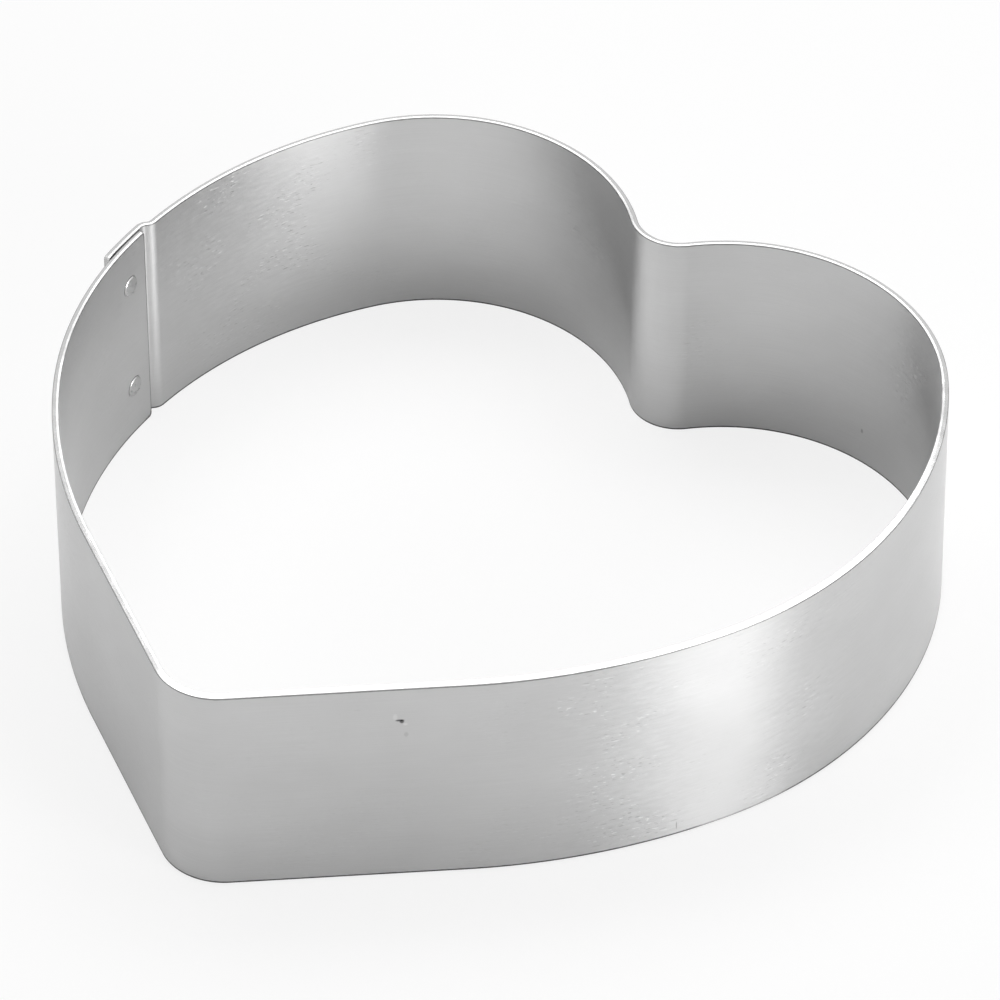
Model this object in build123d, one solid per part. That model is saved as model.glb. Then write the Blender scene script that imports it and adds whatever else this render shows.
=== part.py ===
from build123d import *
import os
from math import acos, copysign, cos, degrees, radians, sin

import numpy as np

# A heart-shaped cutter ring: one metal strip, bent on edge into a heart and closed by a lap with two rivets.
# Millimetres and degrees. The tip points to -Y, the cleft to +Y, and the ring stands on its lower edge.
# Outline sizes are taken on the middle of the strip's thickness.

# Strip
strip_height = 50.0
strip_thickness = 1.2
edge_break = 0.25
corner_round = 0.9

# Heart, on its long axis
tip_to_cleft = 166.0
tip_radius = 12.9
cleft_radius = 9.6

# Right half: its widest reach from the axis, its flank's radius and the angles of its bends
right_reach = 88.9
right_flank_radius = 148.6
right_tip_angle = 38.8
right_flank_angle = 17.4
right_shoulder_angle = 60.7
right_lobe_angle = 106.1

# Left half, which hand bending left a little different from the right
left_reach = 89.35
left_flank_radius = 117.8
left_tip_angle = 34.4
left_flank_angle = 22.6
left_shoulder_angle = 69.7
left_lobe_angle = 98.3

# Lap on the left shoulder, whose inner end lies at a share of the shoulder's angle
inner_end_share = 0.467
inner_end_slant = 0.8
lap_length = 11.2
lap_gap = 0.25
joggle_radius = 2.2
joggle_clearance = 1.0
tail_radius = 110.0

# Rivets, halfway along the lap
shank_radius = 1.4
lower_rivet_height = 12.0
upper_rivet_inset = 10.8
inner_head_radius = 2.4
inner_head_height = 0.5
inner_head_crown = 0.1
inner_head_bevel = 0.3
outer_head_radius = 2.6
outer_head_height = 0.75
outer_head_crown = 0.15
outer_head_bevel = 0.45


def arc_step(heading, turn):
    """How far a bend of unit radius carries a line that enters it at a heading."""
    before, after = radians(heading), radians(heading + turn)
    return copysign(1, turn) * np.array([sin(after) - sin(before), cos(before) - cos(after)])


def half_outline(reach, flank_radius, tip_turn, flank_turn, shoulder_turn, lobe_turn):
    """The bends of one half from tip to cleft, each a size and a turn.

    A bend with no turn is the straight, and its size is a length. Any other size is a radius. The straight,
    the shoulder and the lobe get the sizes that carry the half out to its reach and back to the cleft.
    """
    shoulder_heading = tip_turn + flank_turn
    lobe_heading = shoulder_heading + shoulder_turn
    cleft_heading = lobe_heading + lobe_turn
    cleft_turn = 180 - cleft_heading
    start = tip_radius * arc_step(0, tip_turn) + flank_radius * arc_step(tip_turn, flank_turn)
    end = start + cleft_radius * arc_step(cleft_heading, cleft_turn)
    straight = np.array([cos(radians(tip_turn)), sin(radians(tip_turn))])
    widest = arc_step(shoulder_heading, 90 - shoulder_heading)
    shoulder = arc_step(shoulder_heading, shoulder_turn)
    lobe = arc_step(lobe_heading, lobe_turn)
    steps = [
        [straight[0], widest[0], 0],
        [straight[0], shoulder[0], lobe[0]],
        [straight[1], shoulder[1], lobe[1]],
    ]
    goals = [reach - start[0], -end[0], tip_to_cleft - end[1]]
    length, shoulder_radius, lobe_radius = np.linalg.solve(steps, goals)
    return [
        (tip_radius, tip_turn),
        (length, 0),
        (flank_radius, flank_turn),
        (shoulder_radius, shoulder_turn),
        (lobe_radius, lobe_turn),
        (cleft_radius, cleft_turn),
    ]


def joggle(shoulder_radius):
    """The two bends that step the strip outward over its inner end, and the turn they take up."""
    foot = shoulder_radius + joggle_radius
    toe = shoulder_radius + strip_thickness + lap_gap - joggle_radius
    span = 2 * joggle_radius
    out_turn = degrees(acos((foot**2 + span**2 - toe**2) / (2 * foot * span)))
    taken_turn = degrees(acos((foot**2 + toe**2 - span**2) / (2 * foot * toe)))
    return [(joggle_radius, -out_turn), (joggle_radius, out_turn + taken_turn)], taken_turn


def strip_runs():
    """The strip's two runs from the tip: up the left flank to the inner end, and the long way to the tail."""
    right = half_outline(
        right_reach, right_flank_radius, right_tip_angle, right_flank_angle, right_shoulder_angle, right_lobe_angle
    )
    tip, straight, flank, shoulder, lobe, cleft = half_outline(
        left_reach, left_flank_radius, left_tip_angle, left_flank_angle, left_shoulder_angle, left_lobe_angle
    )
    shoulder_radius, shoulder_turn = shoulder
    inner_turn = shoulder_turn * inner_end_share
    steps, taken_turn = joggle(shoulder_radius)
    outer_turn = shoulder_turn - inner_turn - taken_turn - degrees(joggle_clearance / shoulder_radius)
    tail = (tail_radius, degrees((lap_length + joggle_clearance) / tail_radius))
    short_run = [tip, straight, flank, (shoulder_radius, inner_turn)]
    long_run = right + [cleft, lobe, (shoulder_radius, outer_turn)] + steps + [tail]
    return short_run, long_run


def run_edges(bends, side, offset):
    """Edges that follow the bends from the tip, at an offset outside the strip's middle.

    The side is 1 for a run that leaves the tip to the right, and -1 for one that leaves it to the left.
    """
    place = Vector(0, -offset)
    heading = Vector(side, 0)
    edges = []
    for size, turn in bends:
        if turn == 0:
            edge = Line(place, place + heading * size)
        else:
            edge = JernArc(place, heading, size + copysign(1, turn) * offset, side * turn)
        edges.append(edge)
        place = edge @ 1
        heading = edge % 1
    return edges


def lap_middle():
    """The point of the strip's inner face at the lap's middle, the way out from there, and the stack's depth."""
    short_run, long_run = strip_runs()
    shoulder_radius, inner_turn = short_run[-1]
    to_rivet = short_run[:-1] + [(shoulder_radius, inner_turn - degrees(lap_length / 2 / shoulder_radius))]
    inner_face = run_edges(to_rivet, -1, -strip_thickness / 2)[-1]
    outer_face = run_edges(long_run, 1, strip_thickness / 2)[-1]
    place = inner_face @ 1
    outward = (inner_face % 1).rotate(Axis.Z, 90)
    seat = outer_face @ ((lap_length / 2 + joggle_clearance) / (lap_length + joggle_clearance))
    return place, outward, (seat - place).dot(outward)


def rivet_head(radius, height, crown, bevel):
    """A low crowned head with a bevelled rim. It stands on XY, its foot half a strip's thickness below."""
    foot = strip_thickness / 2
    shoulder_height = height - crown
    profile = make_face(
        [
            Line((0, -foot), (radius, -foot)),
            Line((radius, -foot), (radius, shoulder_height - bevel)),
            Line((radius, shoulder_height - bevel), (radius - bevel, shoulder_height)),
            TangentArc((0, height), (radius - bevel, shoulder_height), tangent=(1, 0)),
            Line((0, height), (0, -foot)),
        ]
    )
    return revolve(Plane.XZ * profile, Axis.Z)


def blank_rivet(depth):
    """A set rivet through a flat stack of a given depth, standing on the stack's inner face."""
    shank = extrude(Circle(shank_radius), depth)
    inner_head = rivet_head(inner_head_radius, inner_head_height, inner_head_crown, inner_head_bevel)
    outer_head = rivet_head(outer_head_radius, outer_head_height, outer_head_crown, outer_head_bevel)
    return shank + Rot(180, 0, 0) * inner_head + Pos(0, 0, depth) * outer_head


def end_wedge(inner_side, outer_side, slant_start):
    """What is cut off the strip's square inner end, from a point of its inner face out to its outer corner."""
    inner_corner, outer_corner = inner_side @ 1, outer_side @ 1
    beyond = inner_corner + (inner_corner - outer_corner) + (inner_side % 1) * strip_thickness
    corners = [slant_start, outer_corner, beyond]
    outline = make_face([Line(corners[i - 1], corner) for i, corner in enumerate(corners)])
    return extrude(outline, strip_height)


def bent_strip():
    """The strip bent on edge, with its end corners rounded, its sharp edges broken and its inner end slanted."""
    short_run, long_run = strip_runs()
    half = strip_thickness / 2
    shoulder_radius, inner_turn = short_run[-1]
    square_run = short_run[:-1] + [(shoulder_radius, inner_turn + degrees(inner_end_slant / shoulder_radius))]
    short_sides = [run_edges(square_run, -1, offset) for offset in (half, -half)]
    long_sides = [run_edges(long_run, 1, offset) for offset in (half, -half)]
    ends = [Line(outer[-1] @ 1, inner[-1] @ 1) for outer, inner in (short_sides, long_sides)]
    strip = extrude(make_face(sum(short_sides + long_sides, ends)), strip_height)
    end_faces = strip.faces().filter_by(GeomType.PLANE).sort_by(SortBy.AREA)[:2]
    corners = [edge for face in end_faces for edge in face.edges().filter_by(Axis.Z, reverse=True)]
    strip = fillet(corners, corner_round)
    # The break runs on from these bends along every edge tangent to them
    levels = strip.edges().filter_by(GeomType.CIRCLE).group_by(Axis.Z)
    strip = chamfer(levels[0] + levels[-1], edge_break)
    slant_start = run_edges(short_run, -1, -half)[-1] @ 1
    return strip - end_wedge(short_sides[1][-1], short_sides[0][-1], slant_start)


def cutter():
    """The band and its two rivets, moved so that the origin is under the middle of the whole ring."""
    place, outward, depth = lap_middle()
    heights = [lower_rivet_height, strip_height - upper_rivet_inset]
    planes = [Plane(origin=place + Vector(0, 0, height), z_dir=outward) for height in heights]
    overrun = strip_thickness
    drill = Pos(0, 0, -overrun) * extrude(Circle(shank_radius), depth + 2 * overrun)
    band = bent_strip()
    for plane in planes:
        band -= plane * drill
    lower, upper = [plane * blank_rivet(depth) - band for plane in planes]
    box = Compound([band, lower, upper]).bounding_box()
    move = Pos(-box.center().X, -box.center().Y, 0)
    return {"band": move * band, "lower_rivet": move * lower, "upper_rivet": move * upper}


os.makedirs("parts", exist_ok=True)
for name, solid in cutter().items():
    solid.label = name
    export_step(solid, f"parts/{name}.step")
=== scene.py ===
from math import acos, ceil, copysign, cos, degrees, pi, radians, sin, tan

import bpy
import numpy as np
from mathutils import Matrix, Vector


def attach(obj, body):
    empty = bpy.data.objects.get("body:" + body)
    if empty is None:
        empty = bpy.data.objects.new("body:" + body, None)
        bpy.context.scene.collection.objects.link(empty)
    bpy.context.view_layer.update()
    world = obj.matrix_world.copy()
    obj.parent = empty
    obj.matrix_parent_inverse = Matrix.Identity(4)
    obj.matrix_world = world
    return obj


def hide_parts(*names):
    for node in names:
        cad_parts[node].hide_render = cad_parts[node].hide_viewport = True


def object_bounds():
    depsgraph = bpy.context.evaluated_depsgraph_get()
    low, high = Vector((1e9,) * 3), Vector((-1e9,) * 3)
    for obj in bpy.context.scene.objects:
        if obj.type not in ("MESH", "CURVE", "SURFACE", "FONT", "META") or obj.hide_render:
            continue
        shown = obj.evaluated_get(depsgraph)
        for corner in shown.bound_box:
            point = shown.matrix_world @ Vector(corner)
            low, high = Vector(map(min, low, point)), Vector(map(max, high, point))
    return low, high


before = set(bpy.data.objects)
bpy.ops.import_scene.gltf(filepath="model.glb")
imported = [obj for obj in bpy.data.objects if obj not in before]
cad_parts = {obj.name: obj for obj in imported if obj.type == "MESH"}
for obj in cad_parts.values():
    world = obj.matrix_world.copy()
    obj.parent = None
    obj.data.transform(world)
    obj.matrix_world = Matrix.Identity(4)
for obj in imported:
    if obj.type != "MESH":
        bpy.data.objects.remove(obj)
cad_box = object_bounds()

# A heart-shaped cutter ring of bare sheet metal. Blender works in metres, and the sizes below are in
# millimetres. Only the places of the camera and the lamps, and the sizes of lamps and floor, are in metres.
mm = 0.001

# Strip
strip_height = 50.0
strip_thickness = 1.2
corner_round = 0.9

# Both faces, measured outward from the middle line. The inner one lies a little further in than the solid's.
inner_growth = 0.2
outer_face = strip_thickness / 2
inner_face = -strip_thickness / 2 - inner_growth
section_depth = outer_face - inner_face

# Section of its cut edge, which is level along the inner face and falls away towards the outer one
rim_depth = 0.33
rim_level_share = 0.38
rim_fall = 17.0
lip_round = 0.07
crest_blend = 0.03
# Share that narrows the painted shade line along the arrises where it crosses the cut edge
rim_line_share = 0.4

# Finish of the torn part of the cut edge, beside the bright part that the blade left level. It ends before
# the outer face by this share of crest_blend.
torn_tone = 0.88
torn_roughness = 0.23
torn_end_share = 0.25

# Heart, on its long axis
tip_to_cleft = 166.0
tip_radius = 12.9
cleft_radius = 9.6

# Right half
right_reach = 88.9
right_flank_radius = 133.2
right_tip_angle = 38.9
right_flank_angle = 23.7
right_shoulder_angle = 63.1
right_lobe_angle = 98.1

# Left half
left_reach = 89.35
left_flank_radius = 117.8
left_tip_angle = 34.4
left_flank_angle = 22.6
left_shoulder_angle = 69.7
left_lobe_angle = 98.3

# Lap on the left shoulder
inner_end_share = 0.467
inner_end_slant = 0.8
lap_length = 11.2
lap_gap = 0.25
joggle_radius = 2.2
joggle_clearance = 1.0
tail_radius = 110.0
rivet_heights = (12.0, 39.2)
rivet_head_radius = 2.4

# Finish of the strip's faces
metal_tones = (0.6, 0.64)
metal_roughness = (0.294, 0.306)
grain_anisotropy = 0.85
grain_depth = 0.02
grain_tone = 0.012
dapple_lean = 0.02
wave_lean = 0.008

# Flecks on the faces: how far they lean, and the values of their noise between which light ones, dark ones
# and patches of them come in. They fade out where the surface slopes, as the cut edge does.
fleck_lean = 0.16
light_fleck = (0.66, 0.7)
dark_fleck = (0.34, 0.3)
fleck_patch = (0.45, 0.6)
fleck_slopes = (0.05, 0.2)

# Cells of the strip's noises: their sizes along, up and across it
grain_cell = (20, 0.16, 10)
dapple_cell = (3.5, 0.7, 10)
wave_cell = (35, 50, 10)
fleck_cell = (1.8, 0.36, 10)
fleck_patch_cell = (16, 12, 10)
cloud_cell = (30, 20, 10)
line_wobble_cell = (1.2, 1.2, 10)

# Painted shade: a dark line along each arris. It is darker and wider at the foot, as a painted contact
# shadow, and lighter over one stretch of the foot.
line_core = 0.16
line_reach = 0.34
line_tone = 0.45
line_wobble = 0.04
foot_line_tone = 0.22
foot_line_growth = 0.06
foot_line_heights = (1, 2)
lighter_foot_line_tone = 0.6
lighter_foot_starts = (250, 256)
lighter_foot_ends = (268, 278)

# Painted shade: a dark line round the upper side of each rivet's head, where it meets the strip
head_line_depth = 0.65
head_line_core = 0.1
head_line_reach = 0.25
head_line_side = (0.6, 0.8, 0)

# Finish of the rivets
rivet_cell = (0.8, 0.8, 0.8)
rivet_tones = (0.5, 0.56)
rivet_roughness = (0.25, 0.35)
rivet_depth = 0.03

# Small marks on the strip: length along, height, face, half length, half height, and how much darker it is
marks = [
    (192.6, 41.5, outer_face, 0.95, 0.3, 0.75),
    (193.0, 41.2, outer_face, 0.5, 0.55, 0.75),
    (191.7, 42.4, outer_face, 0.5, 0.9, -0.12),
    (193.7, 40.4, outer_face, 0.5, 0.35, -0.15),
    (193.8, 37.7, outer_face, 0.5, 0.7, 0.14),
    (248.3, 2.6, outer_face, 0.16, 1.1, 0.4),
    (389.0, 8.6, inner_face, 0.35, 0.65, 0.35),
]
mark_core_share = 0.5
mark_reach_share = 1.2

# Values of a noise between which nearly all of it lies
usual_noise = (0.3, 0.7)

# Fineness of the band's mesh
longest_step = 1.5
widest_step_angle = 2.5
corner_steps = 4
lip_steps = 4
slant_reach = 4.0
rows = 20

# Camera, as the photograph was taken
camera_azimuth = 34.7166
camera_elevation = 41.2973
camera_roll = -0.35578
camera_distance = 1.770735
camera_target = Vector((-0.01126, 0.03678, 0))
camera_lens = 306.1
camera_sensor = 36.0

# Light: each softbox's azimuth from the camera's, elevation, distance, width, height and radiance
softboxes = {
    "back_softbox": (175, 60, 1.6, 1.3, 0.9, 3.7),
    "back_right_softbox": (118, 62, 1.6, 0.8, 0.8, 1.9),
    "back_left_softbox": (240, 62, 1.6, 0.8, 0.8, 2.9),
    "top_softbox": (0, 88, 1.6, 0.8, 0.8, 0.4),
    "right_side_softbox": (90, 40, 1.6, 0.8, 0.8, 0.5),
    "right_softbox": (55, 26, 1.6, 0.62, 0.6, 3.3),
    "right_card": (47.5, 6, 1.6, 0.72, 0.5, 18.9),
}
world_light = 0.06
floor_colour = (0.9, 0.9, 0.9, 1)
floor_reach = 4.0
camera_floor_glow = 0.8
glossy_floor_glow = 0.03


def arc_step(heading, turn):
    """How far a bend of unit radius carries a line that enters it at a heading."""
    before, after = radians(heading), radians(heading + turn)
    return copysign(1, turn) * np.array([sin(after) - sin(before), cos(before) - cos(after)])


def half_outline(reach, flank_radius, tip_turn, flank_turn, shoulder_turn, lobe_turn):
    """The bends of one half from tip to cleft, each a size and a turn. One with no turn is straight."""
    shoulder_heading = tip_turn + flank_turn
    lobe_heading = shoulder_heading + shoulder_turn
    cleft_heading = lobe_heading + lobe_turn
    cleft_turn = 180 - cleft_heading
    start = tip_radius * arc_step(0, tip_turn) + flank_radius * arc_step(tip_turn, flank_turn)
    end = start + cleft_radius * arc_step(cleft_heading, cleft_turn)
    straight = np.array([cos(radians(tip_turn)), sin(radians(tip_turn))])
    widest = arc_step(shoulder_heading, 90 - shoulder_heading)
    shoulder = arc_step(shoulder_heading, shoulder_turn)
    lobe = arc_step(lobe_heading, lobe_turn)
    steps = [
        [straight[0], widest[0], 0],
        [straight[0], shoulder[0], lobe[0]],
        [straight[1], shoulder[1], lobe[1]],
    ]
    goals = [reach - start[0], -end[0], tip_to_cleft - end[1]]
    length, shoulder_radius, lobe_radius = np.linalg.solve(steps, goals)
    return [
        (tip_radius, tip_turn),
        (length, 0),
        (flank_radius, flank_turn),
        (shoulder_radius, shoulder_turn),
        (lobe_radius, lobe_turn),
        (cleft_radius, cleft_turn),
    ]


def joggle(shoulder_radius):
    """The two bends that step the strip outward over its inner end, and the turn they take up."""
    foot = shoulder_radius + joggle_radius
    toe = shoulder_radius + strip_thickness + lap_gap - joggle_radius
    span = 2 * joggle_radius
    out_turn = degrees(acos((foot**2 + span**2 - toe**2) / (2 * foot * span)))
    taken_turn = degrees(acos((foot**2 + toe**2 - span**2) / (2 * foot * toe)))
    return [(joggle_radius, -out_turn), (joggle_radius, out_turn + taken_turn)], taken_turn


def strip_bends():
    """The bends from the inner end down to the tip, and those from there the long way round to the tail."""
    right_turns = (right_tip_angle, right_flank_angle, right_shoulder_angle, right_lobe_angle)
    right = half_outline(right_reach, right_flank_radius, *right_turns)
    left_turns = (left_tip_angle, left_flank_angle, left_shoulder_angle, left_lobe_angle)
    tip, straight, flank, shoulder, lobe, cleft = half_outline(left_reach, left_flank_radius, *left_turns)
    shoulder_radius, shoulder_turn = shoulder
    inner_turn = shoulder_turn * inner_end_share
    steps, taken_turn = joggle(shoulder_radius)
    outer_turn = shoulder_turn - inner_turn - taken_turn - degrees(joggle_clearance / shoulder_radius)
    tail = (tail_radius, degrees((lap_length + joggle_clearance) / tail_radius))
    square_turn = inner_turn + degrees(inner_end_slant / shoulder_radius)
    before_tip = [(shoulder_radius, square_turn), flank, straight, tip]
    after_tip = right + [cleft, lobe, (shoulder_radius, outer_turn)] + steps + [tail]
    return before_tip, after_tip


class StripLine:
    """The strip's middle line from above: bends that follow each other from the inner end to the tail."""

    def __init__(self):
        before_tip, after_tip = strip_bends()
        self.bends = before_tip + after_tip
        self.lengths = [size if turn == 0 else size * radians(abs(turn)) for size, turn in self.bends]
        self.starts = np.concatenate([[0], np.cumsum(self.lengths)])
        self.headings = np.concatenate([[0], np.cumsum([turn for _, turn in self.bends])])
        self.headings -= self.headings[len(before_tip)]
        self.points = [np.zeros(2)]
        for i, length in enumerate(self.lengths):
            self.points.append(self.points[i] + self.stretch(i, length)[0])
        self.points = [point - self.points[len(before_tip)] for point in self.points]

    @property
    def length(self):
        return self.starts[-1]

    def stretch(self, i, length):
        """The way that bend i goes over a length from its start, and the heading it then has in radians."""
        turn = radians(self.bends[i][1]) * length / self.lengths[i]
        heading = radians(self.headings[i])
        chord = length * np.sinc(turn / 2 / pi)
        middle = heading + turn / 2
        return chord * np.array([np.cos(middle), np.sin(middle)]), heading + turn

    def at(self, along):
        """The point and the heading's unit vector at a length along the line."""
        i = int(np.clip(np.searchsorted(self.starts, along, side="right") - 1, 0, len(self.bends) - 1))
        way, heading = self.stretch(i, along - self.starts[i])
        return self.points[i] + way, np.array([np.cos(heading), np.sin(heading)])

    def stations(self, margin):
        """Lengths along the line, close where it bends, that leave a margin at both ends."""
        found = []
        for start, length, (_, turn) in zip(self.starts, self.lengths, self.bends):
            count = ceil(max(length / longest_step, abs(turn) / widest_step_angle))
            found += [start + length * i / count for i in range(count)]
        spare = longest_step / 2
        inside = [x for x in found if margin + spare < x < self.length - margin - spare]
        return [margin] + inside + [self.length - margin]


def panel_columns(line):
    """The flat strip's columns: each one's length along, lower end, and the way out of the panel there."""
    corner = corner_round - rim_depth
    start = []
    for i in range(corner_steps):
        angle = radians(90) * i / corner_steps
        out = (-cos(angle), -sin(angle))
        start.append((corner_round + corner * out[0], corner_round + corner * out[1], out))
    end = [(line.length - along, low, (-out[0], out[1])) for along, low, out in reversed(start)]
    middle = [(along, rim_depth, (0, -1)) for along in line.stations(corner_round)]
    return start + middle + end


def panel_rim(columns):
    """The panel's edge, point by point: column, row and the way out, from the lower start all round."""
    last = len(columns) - 1
    lower = [(i, 0, out) for i, (_, _, out) in enumerate(columns)]
    end = [(last, row, (1, 0)) for row in range(1, rows)]
    upper = [(i, rows, (out[0], -out[1])) for i, _, out in reversed(lower)]
    start = [(0, row, (-1, 0)) for row in range(rows - 1, 0, -1)]
    return lower + end + upper + start


def lip(center_out, center_offset, first, last):
    """A small round of the edge's section, from one angle of its normal to another, off the outer face's."""
    points = []
    for i in range(lip_steps + 1):
        angle = radians(first + (last - first) * i / lip_steps)
        rise, turn = sin(angle), cos(angle)
        points.append((center_out + lip_round * rise, center_offset + lip_round * turn, (rise, turn)))
    return points


def rim_profile():
    """The edge's section from the outer face to the inner one: how far out, offset, and normal."""
    crest = inner_face + section_depth * rim_level_share
    fall = radians(rim_fall)
    outer_center = outer_face - lip_round
    slope_start = outer_center + lip_round * sin(fall)
    outer_depth = rim_depth - (slope_start - crest) * tan(fall) - lip_round * cos(fall)
    outer = lip(outer_depth, outer_center, 0, 90 - rim_fall)
    inner = lip(rim_depth - lip_round, inner_face + lip_round, 90, 180)
    slope_end = (rim_depth - crest_blend * tan(fall), crest + crest_blend, outer[-1][2])
    level_start = (rim_depth, crest, inner[0][2])
    return outer + [slope_end, level_start] + inner


def band_mesh():
    """The strip as a flat panel with rounded edges, bent along its line."""
    line = StripLine()
    columns = panel_columns(line)
    rim = panel_rim(columns)
    flat = []
    faces = []

    def flat_point(along, height, offset, normal):
        flat.append((along, height, offset, *normal))
        return len(flat) - 1

    def row_height(low, row):
        return low + (strip_height - 2 * low) * row / rows

    grids = {}
    for side, offset in ((1, outer_face), (-1, inner_face)):
        grid = [
            [flat_point(along, row_height(low, row), offset, (0, 0, side)) for row in range(rows + 1)]
            for along, low, _ in columns
        ]
        for left, right in zip(grid, grid[1:]):
            for row in range(rows):
                corners = (left[row], right[row], right[row + 1], left[row + 1])
                faces.append(corners[::side])
        grids[side] = grid
    rings = [[grids[1][i][row] for i, row, _ in rim]]
    for out, offset, (rise, turn) in rim_profile():
        ring = []
        for i, row, way in rim:
            along, low, _ = columns[i]
            normal = (way[0] * rise, way[1] * rise, turn)
            ring.append(flat_point(along + way[0] * out, row_height(low, row) + way[1] * out, offset, normal))
        rings.append(ring)
    rings.append([grids[-1][i][row] for i, row, _ in rim])
    for outer, inner in zip(rings, rings[1:]):
        for i, near in enumerate(outer):
            faces.append((outer[i - 1], inner[i - 1], inner[i], near))
    return bend_panel(line, np.array(flat), faces)


def slant_inner_end(flat):
    """The flat points with the inner end, where the line starts, drawn back towards the inner face."""
    flat = flat.copy()
    lean = np.clip(1 - flat[:, 0] / slant_reach, 0, 1) * inner_end_slant / section_depth
    flat[:, 0] += lean * (outer_face - flat[:, 2])
    flat[:, 5] += lean * flat[:, 3]
    flat[:, 3:] /= np.linalg.norm(flat[:, 3:], axis=1, keepdims=True)
    return flat


def from_arris(line, flat):
    """How far each flat point lies from the nearest arris, for the painted shade line. The rim counts it as
    farther than a wall does.
    """
    along = np.minimum(flat[:, 0], line.length - flat[:, 0])
    height = np.minimum(flat[:, 1], strip_height - flat[:, 1])
    corner = corner_round - np.hypot(corner_round - along, corner_round - height)
    depth = np.where(np.maximum(along, height) < corner_round, corner, np.minimum(along, height))
    arris_depth = np.where(flat[:, 2] > 0, rim_depth, lip_round)
    from_face = np.minimum(outer_face - flat[:, 2], flat[:, 2] - inner_face)
    return np.hypot(from_face / rim_line_share, np.maximum(depth - arris_depth, 0))


def bend_panel(line, flat, faces):
    """The mesh of the bent strip, which keeps what its metal needs to know of each place."""
    low, high = cad_box
    shift = np.array([high.x / mm - right_reach - outer_face, low.y / mm + outer_face])
    flat_place = flat[:, :3] * mm
    arris_distance = from_arris(line, flat) * mm
    flat = slant_inner_end(flat)
    stations = {along: line.at(along) for along in np.unique(flat[:, 0])}
    place = np.array([stations[along][0] for along in flat[:, 0]]) + shift
    heading = np.array([stations[along][1] for along in flat[:, 0]])
    outward = np.stack([heading[:, 1], -heading[:, 0]], 1)
    level = np.zeros(len(flat))
    points = np.column_stack([place + outward * flat[:, 2:3], flat[:, 1]]) * mm
    normals = np.column_stack([heading * flat[:, 3:4] + outward * flat[:, 5:6], flat[:, 4]])
    mesh = bpy.data.meshes.new("strip")
    mesh.from_pydata(points.tolist(), [], faces)
    mesh.polygons.foreach_set("use_smooth", [True] * len(mesh.polygons))
    mesh.normals_split_custom_set_from_vertices(normals.tolist())
    for name, values in (("grain", np.column_stack([heading, level])), ("flat_place", flat_place)):
        attribute = mesh.attributes.new(name, "FLOAT_VECTOR", "POINT")
        attribute.data.foreach_set("vector", values.astype(np.float32).ravel())
    attribute = mesh.attributes.new("arris_distance", "FLOAT", "POINT")
    attribute.data.foreach_set("value", arris_distance.astype(np.float32))
    return mesh


def add_node(tree, kind, settings=(), **inputs):
    """A new node with its settings, and its inputs given as numbers, colours or other nodes' outputs."""
    node = tree.nodes.new(kind)
    for name, value in dict(settings).items():
        setattr(node, name, value)
    for name, value in inputs.items():
        socket = node.inputs[int(name[1:])] if name[0] == "i" and name[1:].isdigit() else node.inputs[name]
        if isinstance(value, bpy.types.NodeSocket):
            tree.links.new(value, socket)
        else:
            socket.default_value = value
    return node


def vector_math(tree, operation, *values):
    inputs = {f"i{i}" if operation != "SCALE" or i == 0 else "Scale": value for i, value in enumerate(values)}
    return add_node(tree, "ShaderNodeVectorMath", {"operation": operation}, **inputs).outputs[0]


def math_node(tree, operation, *values):
    inputs = {f"i{i}": value for i, value in enumerate(values)}
    return add_node(tree, "ShaderNodeMath", {"operation": operation}, **inputs).outputs[0]


def noise(tree, place, cell, detail=2.0, seed=0.0):
    """Noise whose cells have these sizes in millimetres along, up and across the strip. Its middle is 0.5."""
    scaled = vector_math(tree, "MULTIPLY", place, [1 / (size * mm) for size in cell])
    moved = vector_math(tree, "ADD", scaled, (seed, seed, seed))
    return add_node(tree, "ShaderNodeTexNoise", Vector=moved, Scale=1.0, Detail=detail).outputs["Fac"]


def ramp(tree, value, start, end, low, high):
    """A value mapped smoothly so that it runs from low at the start to high at the end, and no further."""
    settings = {"interpolation_type": "SMOOTHSTEP"}
    inputs = {"From Min": start, "From Max": end, "To Min": low, "To Max": high}
    return add_node(tree, "ShaderNodeMapRange", settings, Value=value, **inputs).outputs[0]


def spread(tree, value, low, high):
    """A noise value, mapped so that its usual range runs from low to high."""
    usual_low, usual_high = usual_noise
    inputs = {"From Min": usual_low, "From Max": usual_high, "To Min": low, "To Max": high}
    return add_node(tree, "ShaderNodeMapRange", {"clamp": True}, Value=value, **inputs).outputs[0]


def product(tree, *values):
    """All the values multiplied with each other."""
    total, *others = values
    for value in others:
        total = math_node(tree, "MULTIPLY", total, value)
    return total


def length_of(tree, way):
    return add_node(tree, "ShaderNodeVectorMath", {"operation": "LENGTH"}, i0=way).outputs["Value"]


def parts_of(tree, vector):
    """A vector's three parts, by the names X, Y and Z."""
    return add_node(tree, "ShaderNodeSeparateXYZ", Vector=vector).outputs


def mesh_attribute(tree, name, output):
    """What the mesh keeps under a name, as a vector or as one value."""
    return add_node(tree, "ShaderNodeAttribute", {"attribute_name": name}).outputs[output]


def gray(tree, tone):
    return add_node(tree, "ShaderNodeCombineColor", Red=tone, Green=tone, Blue=tone).outputs[0]


def torn_part(tree, place):
    """1 on the sloping part of the cut edge, and 0 on its level part and on both faces."""
    offset = parts_of(tree, place)["Z"]
    face = outer_face * mm
    crest = (inner_face + section_depth * rim_level_share) * mm
    blend = crest_blend * mm
    begun = ramp(tree, offset, crest - blend, crest + blend, 0, 1)
    return product(tree, begun, ramp(tree, offset, face - blend, face - blend * torn_end_share, 1, 0))


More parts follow.
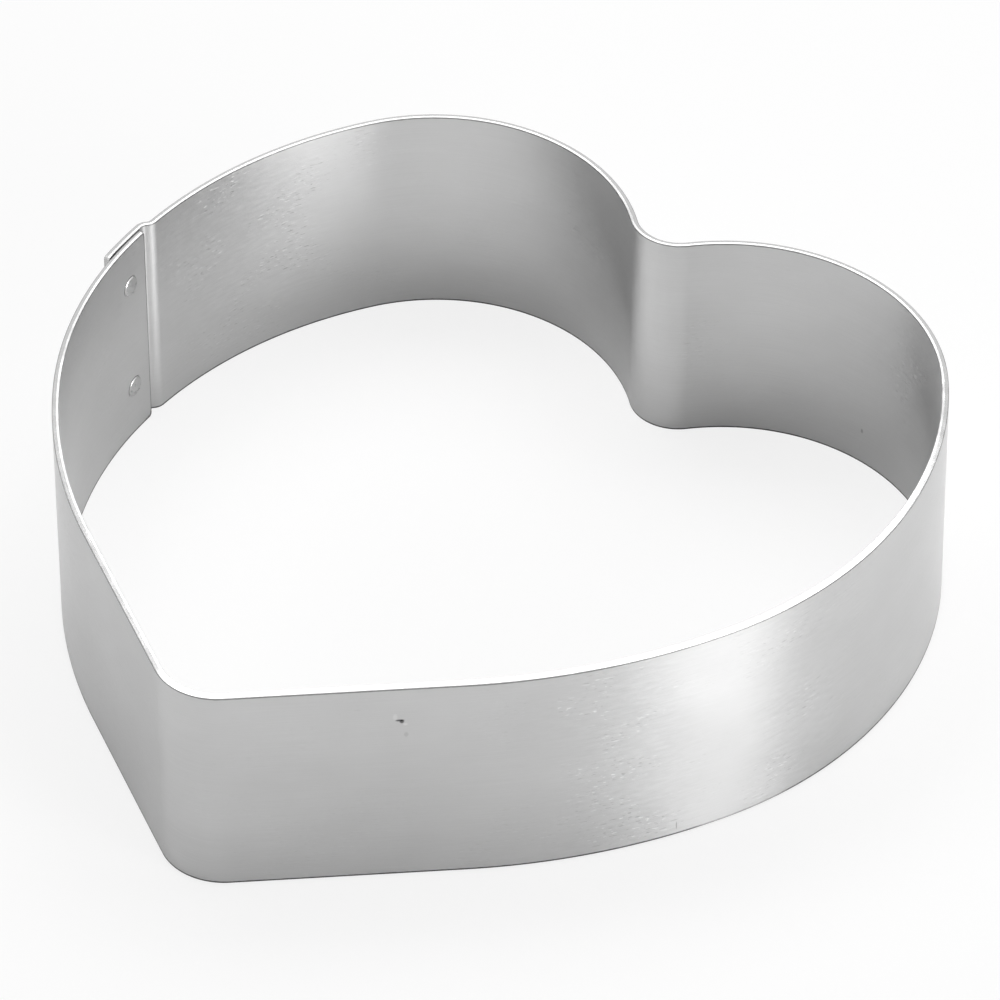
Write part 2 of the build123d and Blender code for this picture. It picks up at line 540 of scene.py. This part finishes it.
def flecks(tree, place, normal):
    """How far small flecks lean the metal. They lie in patches on the two faces, and not on the cut edge."""
    value = noise(tree, place, fleck_cell, detail=1, seed=13.0)
    light = ramp(tree, value, *light_fleck, 0, fleck_lean)
    dark = ramp(tree, value, *dark_fleck, 0, fleck_lean)
    patch = ramp(tree, noise(tree, place, fleck_patch_cell, detail=1, seed=17.0), *fleck_patch, 0, 1)
    slope = math_node(tree, "ABSOLUTE", parts_of(tree, normal)["Z"])
    on_faces = ramp(tree, slope, *fleck_slopes, 1, 0)
    return product(tree, patch, on_faces, math_node(tree, "SUBTRACT", light, dark))


def leaned_normal(tree, place, grain, normal):
    """The surface's normal, leaned along the strip by its faint waves and dapples and by its flecks."""
    dapple = spread(tree, noise(tree, place, dapple_cell, detail=2, seed=3.0), -dapple_lean, dapple_lean)
    wave = spread(tree, noise(tree, place, wave_cell, detail=1, seed=8.0), -wave_lean, wave_lean)
    lean = math_node(tree, "ADD", math_node(tree, "ADD", dapple, wave), flecks(tree, place, normal))
    leaned = vector_math(tree, "ADD", normal, vector_math(tree, "SCALE", grain, lean))
    return vector_math(tree, "NORMALIZE", leaned)


def arris_line(tree, place):
    """The tone of the painted shade line along the arrises, which is darkest at the foot."""
    # Noise makes the edge of the painted shade line ragged.
    wobble = spread(tree, noise(tree, place, line_wobble_cell, detail=2, seed=21.0), -line_wobble * mm, line_wobble * mm)
    distance = math_node(tree, "ADD", mesh_attribute(tree, "arris_distance", "Fac"), wobble)
    along, height, _ = parts_of(tree, place)
    foot_end, above_foot = (x * mm for x in foot_line_heights)
    growth = ramp(tree, height, foot_end, above_foot, foot_line_growth * mm, 0)
    distance = math_node(tree, "SUBTRACT", distance, growth)
    # The painted shade at the foot is lighter over one stretch along the strip.
    begun = ramp(tree, along, *(x * mm for x in lighter_foot_starts), 0, 1)
    lighter_stretch = product(tree, begun, ramp(tree, along, *(x * mm for x in lighter_foot_ends), 1, 0))
    foot_tone = ramp(tree, lighter_stretch, 0, 1, foot_line_tone, lighter_foot_line_tone)
    tone = ramp(tree, height, foot_end, above_foot, foot_tone, line_tone)
    return ramp(tree, distance, line_core * mm, line_reach * mm, tone, 1)


def head_line(tree, place, height):
    """The tone of the painted shade, a fine dark line round the upper side of the rivet head at this height.
    """
    center = ((lap_length / 2 + inner_end_slant) * mm, height * mm, 0)
    way = vector_math(tree, "MULTIPLY", vector_math(tree, "SUBTRACT", place, center), (1, 1, 0))
    radius = rivet_head_radius * mm
    off_line = math_node(tree, "ABSOLUTE", math_node(tree, "SUBTRACT", length_of(tree, way), radius))
    side = add_node(tree, "ShaderNodeVectorMath", {"operation": "DOT_PRODUCT"}, i0=way, i1=head_line_side)
    upper = ramp(tree, side.outputs["Value"], 0, radius / 2, 0, 1)
    line = ramp(tree, off_line, head_line_core * mm, head_line_reach * mm, head_line_depth, 0)
    return math_node(tree, "SUBTRACT", 1, product(tree, upper, line))


def mark_tone(tree, place, along, height, offset, half_length, half_height, depth):
    """The tone of a small mark on one face, as a share of the metal's round it."""
    center = (along * mm, height * mm, offset * mm)
    way = vector_math(tree, "SUBTRACT", place, center)
    way = vector_math(tree, "DIVIDE", way, (half_length * mm, half_height * mm, section_depth / 2 * mm))
    return ramp(tree, length_of(tree, way), mark_core_share, mark_reach_share, 1 - depth, 1)


def strip_metal():
    """Bare metal with a fine grain along the strip, which draws its reflections out upward and downward."""
    material = bpy.data.materials.new("strip_metal")
    material.use_nodes = True
    tree = material.node_tree
    shader = tree.nodes["Principled BSDF"]
    place = mesh_attribute(tree, "flat_place", "Vector")
    grain = mesh_attribute(tree, "grain", "Vector")
    normal = add_node(tree, "ShaderNodeNewGeometry").outputs["Normal"]
    fine = noise(tree, place, grain_cell, detail=2, seed=1.0)
    cloud = noise(tree, place, cloud_cell, detail=3, seed=5.0)
    torn = torn_part(tree, place)

    leaned = leaned_normal(tree, place, grain, normal)
    bump = add_node(
        tree, "ShaderNodeBump", Height=fine, Distance=grain_depth * mm, Strength=1.0, Normal=leaned
    )
    tree.links.new(bump.outputs[0], shader.inputs["Normal"])
    tree.links.new(vector_math(tree, "CROSS_PRODUCT", grain, normal), shader.inputs["Tangent"])

    streaks = spread(tree, fine, -grain_tone, grain_tone)
    tone = math_node(tree, "ADD", spread(tree, cloud, *metal_tones), streaks)
    # Painted shade: the dark line along the arrises
    shares = [arris_line(tree, place), ramp(tree, torn, 0, 1, 1, torn_tone)]
    # Painted shade round the upper side of each rivet head
    shares += [head_line(tree, place, height) for height in rivet_heights]
    shares += [mark_tone(tree, place, *mark) for mark in marks]
    tree.links.new(gray(tree, product(tree, tone, *shares)), shader.inputs["Base Color"])
    smooth = spread(tree, cloud, *metal_roughness)
    roughness = add_node(tree, "ShaderNodeMix", i0=torn, i2=smooth, i3=torn_roughness)
    tree.links.new(roughness.outputs[0], shader.inputs["Roughness"])
    shader.inputs["Metallic"].default_value = 1.0
    shader.inputs["Anisotropic"].default_value = grain_anisotropy
    return material


def rivet_metal():
    """The rivets' metal: a little smoother than the strip, with the faint mottling of a pressed head."""
    material = bpy.data.materials.new("rivet_metal")
    material.use_nodes = True
    tree = material.node_tree
    shader = tree.nodes["Principled BSDF"]
    place = add_node(tree, "ShaderNodeTexCoord").outputs["Object"]
    mottle = noise(tree, place, rivet_cell, detail=3)
    bump = add_node(tree, "ShaderNodeBump", Height=mottle, Distance=rivet_depth * mm, Strength=1.0)
    tree.links.new(bump.outputs[0], shader.inputs["Normal"])
    tree.links.new(gray(tree, spread(tree, mottle, *rivet_tones)), shader.inputs["Base Color"])
    tree.links.new(spread(tree, mottle, *rivet_roughness), shader.inputs["Roughness"])
    shader.inputs["Metallic"].default_value = 1.0
    return material


def ray_share(tree, camera, glossy):
    """One value for rays from the camera and another for rays that glossy surfaces or glass send out."""
    path = add_node(tree, "ShaderNodeLightPath").outputs
    mirrored = math_node(tree, "MAXIMUM", path["Is Glossy Ray"], path["Is Transmission Ray"])
    seen = math_node(tree, "MULTIPLY", path["Is Camera Ray"], camera)
    return math_node(tree, "ADD", seen, math_node(tree, "MULTIPLY", mirrored, glossy))


def floor_material():
    """A pale floor that shows white with a soft shadow, and that the metal reflects dimly."""
    material = bpy.data.materials.new("floor")
    material.use_nodes = True
    tree = material.node_tree
    tree.nodes.clear()
    plain = add_node(tree, "ShaderNodeBsdfDiffuse", Color=floor_colour)
    glow = add_node(tree, "ShaderNodeEmission", Color=(1, 1, 1, 1), Strength=1.0)
    share = ray_share(tree, camera_floor_glow, glossy_floor_glow)
    mix = add_node(tree, "ShaderNodeMixShader", i0=share, i1=plain.outputs[0], i2=glow.outputs[0])
    add_node(tree, "ShaderNodeOutputMaterial", Surface=mix.outputs[0])
    return material


def add_floor():
    mesh = bpy.data.meshes.new("floor")
    corners = [(x * floor_reach, y * floor_reach, 0) for x, y in ((-1, -1), (1, -1), (1, 1), (-1, 1))]
    mesh.from_pydata(corners, [], [(0, 1, 2, 3)])
    floor = bpy.data.objects.new("floor", mesh)
    bpy.context.scene.collection.objects.link(floor)
    floor.data.materials.append(floor_material())


def add_world():
    world = bpy.data.worlds.new("studio")
    world.use_nodes = True
    tree = world.node_tree
    background = tree.nodes["Background"]
    background.inputs["Color"].default_value = (1, 1, 1, 1)
    extra = ray_share(tree, 1 - world_light, 1 - world_light)
    tree.links.new(math_node(tree, "ADD", extra, world_light), background.inputs["Strength"])
    bpy.context.scene.world = world


def toward(azimuth, elevation):
    """The way to a place at an azimuth from -Y towards +X, and at an elevation."""
    a, e = radians(azimuth), radians(elevation)
    return Vector((sin(a) * cos(e), -cos(a) * cos(e), sin(e)))


def add_softbox(name, azimuth, elevation, distance, width, height, radiance):
    """A soft lamp that faces the object. Its power follows from its radiance and its size."""
    data = bpy.data.lights.new(name, "AREA")
    data.shape = "RECTANGLE"
    data.size = width
    data.size_y = height
    data.energy = radiance * pi * width * height
    lamp = bpy.data.objects.new(name, data)
    bpy.context.scene.collection.objects.link(lamp)
    way = toward(camera_azimuth + azimuth, elevation)
    lamp.location = way * distance
    lamp.rotation_euler = way.to_track_quat("Z", "Y").to_euler()
    lamp.visible_camera = False


def add_camera():
    data = bpy.data.cameras.new("camera")
    data.lens = camera_lens
    data.sensor_width = camera_sensor
    camera = bpy.data.objects.new("camera", data)
    bpy.context.scene.collection.objects.link(camera)
    back = toward(camera_azimuth, camera_elevation)
    level = toward(camera_azimuth + 90, 0)
    rise = back.cross(level)
    roll = radians(camera_roll)
    right = level * cos(roll) + rise * sin(roll)
    up = rise * cos(roll) - level * sin(roll)
    turned = Matrix((right, up, back)).transposed()
    camera.matrix_world = Matrix.Translation(camera_target + back * camera_distance) @ turned.to_4x4()
    bpy.context.scene.camera = camera


def add_band():
    band = bpy.data.objects.new("strip", band_mesh())
    bpy.context.scene.collection.objects.link(band)
    band.data.materials.append(strip_metal())
    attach(band, "root")
    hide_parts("band")


def dress_rivets():
    metal = rivet_metal()
    for name in ("lower_rivet", "upper_rivet"):
        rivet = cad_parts[name]
        rivet.data.materials.clear()
        rivet.data.materials.append(metal)


add_band()
dress_rivets()
add_floor()
add_world()
for name, place in softboxes.items():
    add_softbox(name, *place)
add_camera()
bpy.context.scene.view_settings.view_transform = "Standard"
